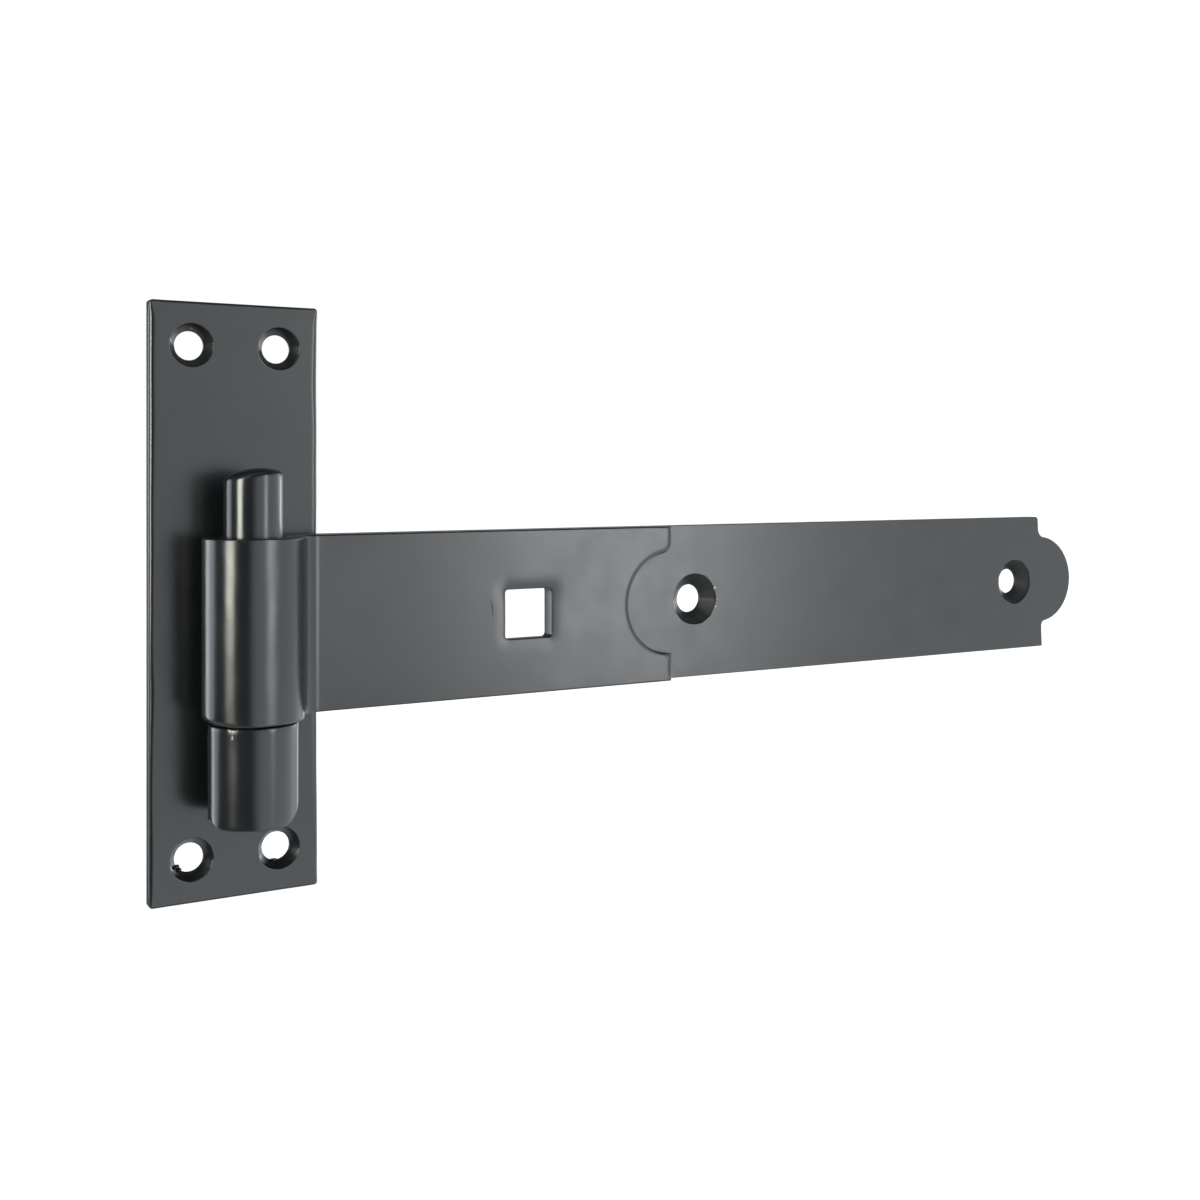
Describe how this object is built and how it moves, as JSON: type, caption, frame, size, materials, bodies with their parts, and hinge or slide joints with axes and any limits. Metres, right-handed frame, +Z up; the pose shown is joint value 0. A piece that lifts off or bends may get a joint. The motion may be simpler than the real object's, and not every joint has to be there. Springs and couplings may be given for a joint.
{
  "type": "hook and band hinge",
  "caption": "Black coated steel gate hinge: a long flat band folded round an upright pin, which stands on a stout boss riveted to a tall narrow screw plate.",
  "frame": {"origin": "centre of the hook plate's back face, which lies against the gate post", "axes": "+X along the band away from the pin with the hinge as pictured, +Y into the post, +Z up along the pin"},
  "size_m": [0.2835, 0.0266, 0.134],
  "materials": {
    "black_powder_coat": "semi-gloss black powder coat on mild steel"
  },
  "bodies": {
    "hook": {"hook_plate": "black_powder_coat", "hook_pin": "black_powder_coat"},
    "band": {"band": "black_powder_coat"}
  },
  "joints": [
    {"name": "band_swing", "type": "hinge", "parent": "hook", "child": "band", "pos_m": [0, -0.0157, -0.0052], "axis": [0, 0, 1], "range_deg": [-220, 4.5]}
  ]
}
